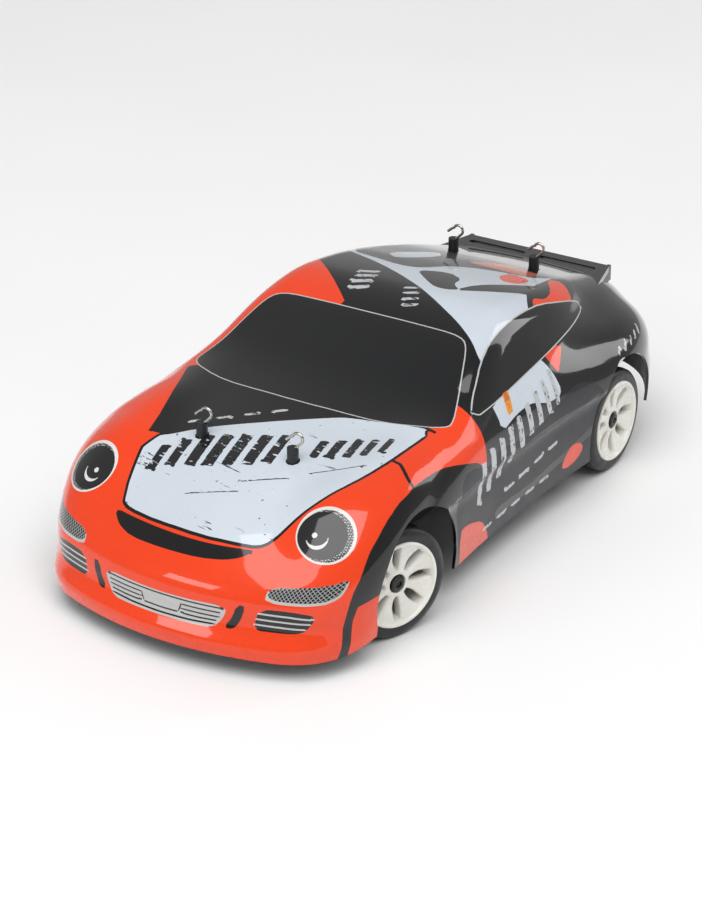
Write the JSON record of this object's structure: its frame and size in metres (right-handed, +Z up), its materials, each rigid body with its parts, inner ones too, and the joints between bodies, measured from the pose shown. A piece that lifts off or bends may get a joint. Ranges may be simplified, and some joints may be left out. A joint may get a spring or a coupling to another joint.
{
  "type": "radio-controlled drift car",
  "caption": "Small four-wheel-drive electric drift car with a removable printed coupe body, independent suspension, steering, wing and slick tyres.",
  "frame": {"origin": "centre of the overall box, on the ground the tyres stand on", "axes": "+X towards the nose, +Y to the car's left, +Z up"},
  "size_m": [0.214, 0.1074, 0.0652],
  "materials": {
    "shell_lacquer": "printed and lacquered thin polycarbonate",
    "wing_gloss": "gloss black",
    "drift_tyre": "smooth hard drift tyre",
    "rim_cream": "moulded cream white",
    "shaft_steel": "turned steel",
    "wire_steel": "bright spring wire",
    "screw_black": "black oxide",
    "can_steel": "plated can",
    "pinion_brass": "cut teeth",
    "gear_grey": "sintered metal",
    "gear_white": "moulded nylon",
    "battery_wrap": "shrink wrap",
    "board_green": "circuit board",
    "servo_blue": "moulded case",
    "tub_blue_black": "fine moulded grain",
    "nylon_black": "glass-filled nylon"
  },
  "bodies": {
    "chassis": {"chassis_tub": "tub_blue_black", "front_gearbox_case": "nylon_black", "front_gearbox_lid": "nylon_black", "rear_gearbox_case": "nylon_black", "rear_gearbox_lid": "nylon_black", "inner_hinge_pins": "shaft_steel", "body_posts": "nylon_black", "motor_can": "can_steel", "servo_case": "servo_blue", "battery_pack": "battery_wrap", "receiver_board": "board_green", "screws": "screw_black", "spring_fl": "wire_steel", "spring_fr": "wire_steel", "spring_rl": "wire_steel", "spring_rr": "wire_steel"},
    "shell": {"body_shell": "shell_lacquer", "rear_wing": "wing_gloss"},
    "clips": {"body_clips": "wire_steel"},
    "pinion": {"motor_pinion": "pinion_brass"},
    "shaft": {"centre_shaft": "shaft_steel", "spur_gear": "gear_white"},
    "front_diff": {"front_diff": "gear_grey"},
    "rear_diff": {"rear_diff": "gear_grey"},
    "horn": {"servo_horn": "nylon_black"},
    "tie_bar": {"steering_tie_bar": "nylon_black"},
    "lower_arm_fl": {"lower_arm_fl": "nylon_black"},
    "upper_arm_fl": {"upper_arm_fl": "nylon_black"},
    "hub_fl": {"hub_fl": "nylon_black", "hub_pins_fl": "shaft_steel"},
    "dogbone_fl": {"dogbone_fl": "shaft_steel"},
    "wheel_fl": {"axle_fl": "shaft_steel", "rim_fl": "rim_cream", "tyre_fl": "drift_tyre"},
    "knuckle_fl": {"knuckle_fl": "nylon_black"},
    "lower_arm_fr": {"lower_arm_fr": "nylon_black"},
    "upper_arm_fr": {"upper_arm_fr": "nylon_black"},
    "hub_fr": {"hub_fr": "nylon_black", "hub_pins_fr": "shaft_steel"},
    "dogbone_fr": {"dogbone_fr": "shaft_steel"},
    "wheel_fr": {"axle_fr": "shaft_steel", "rim_fr": "rim_cream", "tyre_fr": "drift_tyre"},
    "knuckle_fr": {"knuckle_fr": "nylon_black"},
    "lower_arm_rl": {"lower_arm_rl": "nylon_black"},
    "upper_arm_rl": {"upper_arm_rl": "nylon_black"},
    "hub_rl": {"hub_rl": "nylon_black", "hub_pins_rl": "shaft_steel"},
    "dogbone_rl": {"dogbone_rl": "shaft_steel"},
    "wheel_rl": {"axle_rl": "shaft_steel", "rim_rl": "rim_cream", "tyre_rl": "drift_tyre"},
    "lower_arm_rr": {"lower_arm_rr": "nylon_black"},
    "upper_arm_rr": {"upper_arm_rr": "nylon_black"},
    "hub_rr": {"hub_rr": "nylon_black", "hub_pins_rr": "shaft_steel"},
    "dogbone_rr": {"dogbone_rr": "shaft_steel"},
    "wheel_rr": {"axle_rr": "shaft_steel", "rim_rr": "rim_cream", "tyre_rr": "drift_tyre"}
  },
  "joints": [
    {"name": "suspension_fl", "type": "hinge", "parent": "chassis", "child": "lower_arm_fl", "pos_m": [0.0575, 0.012, 0.009], "axis": [1, 0, 0], "range_deg": [-2, 4], "stiffness_Nm_per_rad": 0.3, "springref_deg": -0.97, "deforming": ["spring_fl"]},
    {"name": "upper_arm_pivot_fl", "type": "hinge", "parent": "chassis", "child": "upper_arm_fl", "pos_m": [0.0575, 0.012, 0.023], "axis": [1, 0, 0], "range_deg": [-2, 4]},
    {"name": "hub_pivot_fl", "type": "hinge", "parent": "lower_arm_fl", "child": "hub_fl", "pos_m": [0.0575, 0.029, 0.009], "axis": [1, 0, 0], "range_deg": [-4, 2]},
    {"name": "driveshaft_spin_fl", "type": "hinge", "parent": "lower_arm_fl", "child": "dogbone_fl", "pos_m": [0.0575, 0.02, 0.016], "axis": [0, 1, 0], "continuous": true},
    {"name": "steer_fl", "type": "hinge", "parent": "hub_fl", "child": "knuckle_fl", "pos_m": [0.0575, 0.034, 0.016], "axis": [0, 0, 1], "range_deg": [-5, 45]},
    {"name": "wheel_spin_fl", "type": "hinge", "parent": "knuckle_fl", "child": "wheel_fl", "pos_m": [0.0575, 0.034, 0.016], "axis": [0.342, 0.9397, 0], "continuous": true},
    {"name": "suspension_fr", "type": "hinge", "parent": "chassis", "child": "lower_arm_fr", "pos_m": [0.0575, -0.012, 0.009], "axis": [-1, 0, 0], "range_deg": [-2, 4], "stiffness_Nm_per_rad": 0.3, "springref_deg": -0.97, "deforming": ["spring_fr"]},
    {"name": "upper_arm_pivot_fr", "type": "hinge", "parent": "chassis", "child": "upper_arm_fr", "pos_m": [0.0575, -0.012, 0.023], "axis": [-1, 0, 0], "range_deg": [-2, 4]},
    {"name": "hub_pivot_fr", "type": "hinge", "parent": "lower_arm_fr", "child": "hub_fr", "pos_m": [0.0575, -0.029, 0.009], "axis": [-1, 0, 0], "range_deg": [-4, 2]},
    {"name": "driveshaft_spin_fr", "type": "hinge", "parent": "lower_arm_fr", "child": "dogbone_fr", "pos_m": [0.0575, -0.02, 0.016], "axis": [0, 1, 0], "continuous": true},
    {"name": "steer_fr", "type": "hinge", "parent": "hub_fr", "child": "knuckle_fr", "pos_m": [0.0575, -0.034, 0.016], "axis": [0, 0, 1], "range_deg": [-5, 45]},
    {"name": "wheel_spin_fr", "type": "hinge", "parent": "knuckle_fr", "child": "wheel_fr", "pos_m": [0.0575, -0.034, 0.016], "axis": [0.342, 0.9397, 0], "continuous": true},
    {"name": "suspension_rl", "type": "hinge", "parent": "chassis", "child": "lower_arm_rl", "pos_m": [-0.06, 0.012, 0.009], "axis": [1, 0, 0], "range_deg": [-2, 4], "stiffness_Nm_per_rad": 0.3, "springref_deg": -0.97, "deforming": ["spring_rl"]},
    {"name": "upper_arm_pivot_rl", "type": "hinge", "parent": "chassis", "child": "upper_arm_rl", "pos_m": [-0.06, 0.012, 0.023], "axis": [1, 0, 0], "range_deg": [-2, 4]},
    {"name": "hub_pivot_rl", "type": "hinge", "parent": "lower_arm_rl", "child": "hub_rl", "pos_m": [-0.06, 0.029, 0.009], "axis": [1, 0, 0], "range_deg": [-4, 2]},
    {"name": "driveshaft_spin_rl", "type": "hinge", "parent": "lower_arm_rl", "child": "dogbone_rl", "pos_m": [-0.06, 0.02, 0.016], "axis": [0, 1, 0], "continuous": true},
    {"name": "wheel_spin_rl", "type": "hinge", "parent": "hub_rl", "child": "wheel_rl", "pos_m": [-0.06, 0.045, 0.016], "axis": [0, 1, 0], "continuous": true},
    {"name": "suspension_rr", "type": "hinge", "parent": "chassis", "child": "lower_arm_rr", "pos_m": [-0.06, -0.012, 0.009], "axis": [-1, 0, 0], "range_deg": [-2, 4], "stiffness_Nm_per_rad": 0.3, "springref_deg": -0.97, "deforming": ["spring_rr"]},
    {"name": "upper_arm_pivot_rr", "type": "hinge", "parent": "chassis", "child": "upper_arm_rr", "pos_m": [-0.06, -0.012, 0.023], "axis": [-1, 0, 0], "range_deg": [-2, 4]},
    {"name": "hub_pivot_rr", "type": "hinge", "parent": "lower_arm_rr", "child": "hub_rr", "pos_m": [-0.06, -0.029, 0.009], "axis": [-1, 0, 0], "range_deg": [-4, 2]},
    {"name": "driveshaft_spin_rr", "type": "hinge", "parent": "lower_arm_rr", "child": "dogbone_rr", "pos_m": [-0.06, -0.02, 0.016], "axis": [0, 1, 0], "continuous": true},
    {"name": "wheel_spin_rr", "type": "hinge", "parent": "hub_rr", "child": "wheel_rr", "pos_m": [-0.06, -0.045, 0.016], "axis": [0, 1, 0], "continuous": true},
    {"name": "tie_bar_slide", "type": "slide", "parent": "chassis", "child": "tie_bar", "axis": [0, 1, 0], "range_m": [-0.00842, 0.00095]},
    {"name": "servo_turn", "type": "hinge", "parent": "chassis", "child": "horn", "pos_m": [0.0356, 0.011, 0.022], "axis": [0, 0, 1], "range_deg": [-45, 5]},
    {"name": "front_diff_turn", "type": "hinge", "parent": "chassis", "child": "front_diff", "pos_m": [0.0575, 0, 0.016], "axis": [0, 1, 0], "continuous": true},
    {"name": "rear_diff_turn", "type": "hinge", "parent": "chassis", "child": "rear_diff", "pos_m": [-0.06, 0, 0.016], "axis": [0, 1, 0], "continuous": true},
    {"name": "shaft_turn", "type": "hinge", "parent": "chassis", "child": "shaft", "pos_m": [0, 0, 0.014], "axis": [1, 0, 0], "continuous": true},
    {"name": "pinion_turn", "type": "hinge", "parent": "chassis", "child": "pinion", "pos_m": [-0.0196, 0.0078, 0.0168], "axis": [1, 0, 0], "continuous": true},
    {"name": "shell_lift", "type": "slide", "parent": "chassis", "child": "shell", "axis": [0, 0, 1], "range_m": [0, 0.05]},
    {"name": "clip_draw", "type": "slide", "parent": "shell", "child": "clips", "axis": [0, 1, 0], "range_m": [0, 0.05]}
  ],
  "couplings": [
    {"joint": "upper_arm_pivot_fl", "follows": "suspension_fl", "ratio": 1},
    {"joint": "hub_pivot_fl", "follows": "suspension_fl", "ratio": -1},
    {"joint": "upper_arm_pivot_fr", "follows": "suspension_fr", "ratio": 1},
    {"joint": "hub_pivot_fr", "follows": "suspension_fr", "ratio": -1},
    {"joint": "upper_arm_pivot_rl", "follows": "suspension_rl", "ratio": 1},
    {"joint": "hub_pivot_rl", "follows": "suspension_rl", "ratio": -1},
    {"joint": "upper_arm_pivot_rr", "follows": "suspension_rr", "ratio": 1},
    {"joint": "hub_pivot_rr", "follows": "suspension_rr", "ratio": -1},
    {"joint": "steer_fr", "follows": "steer_fl", "ratio": 1},
    {"joint": "tie_bar_slide", "follows": "steer_fl", "m_per_rad": -0.010709},
    {"joint": "servo_turn", "follows": "steer_fl", "ratio": -1},
    {"joint": "driveshaft_spin_fl", "follows": "wheel_spin_rl", "ratio": 1},
    {"joint": "wheel_spin_fl", "follows": "wheel_spin_rl", "ratio": 1},
    {"joint": "driveshaft_spin_fr", "follows": "wheel_spin_rl", "ratio": 1},
    {"joint": "wheel_spin_fr", "follows": "wheel_spin_rl", "ratio": 1},
    {"joint": "driveshaft_spin_rl", "follows": "wheel_spin_rl", "ratio": 1},
    {"joint": "driveshaft_spin_rr", "follows": "wheel_spin_rl", "ratio": 1},
    {"joint": "wheel_spin_rr", "follows": "wheel_spin_rl", "ratio": 1},
    {"joint": "front_diff_turn", "follows": "wheel_spin_rl", "ratio": 1},
    {"joint": "rear_diff_turn", "follows": "wheel_spin_rl", "ratio": 1},
    {"joint": "shaft_turn", "follows": "wheel_spin_rl", "ratio": 3},
    {"joint": "pinion_turn", "follows": "wheel_spin_rl", "ratio": -7.2},
    {"joint": "clip_draw", "follows": "shell_lift", "ratio": 1}
  ]
}
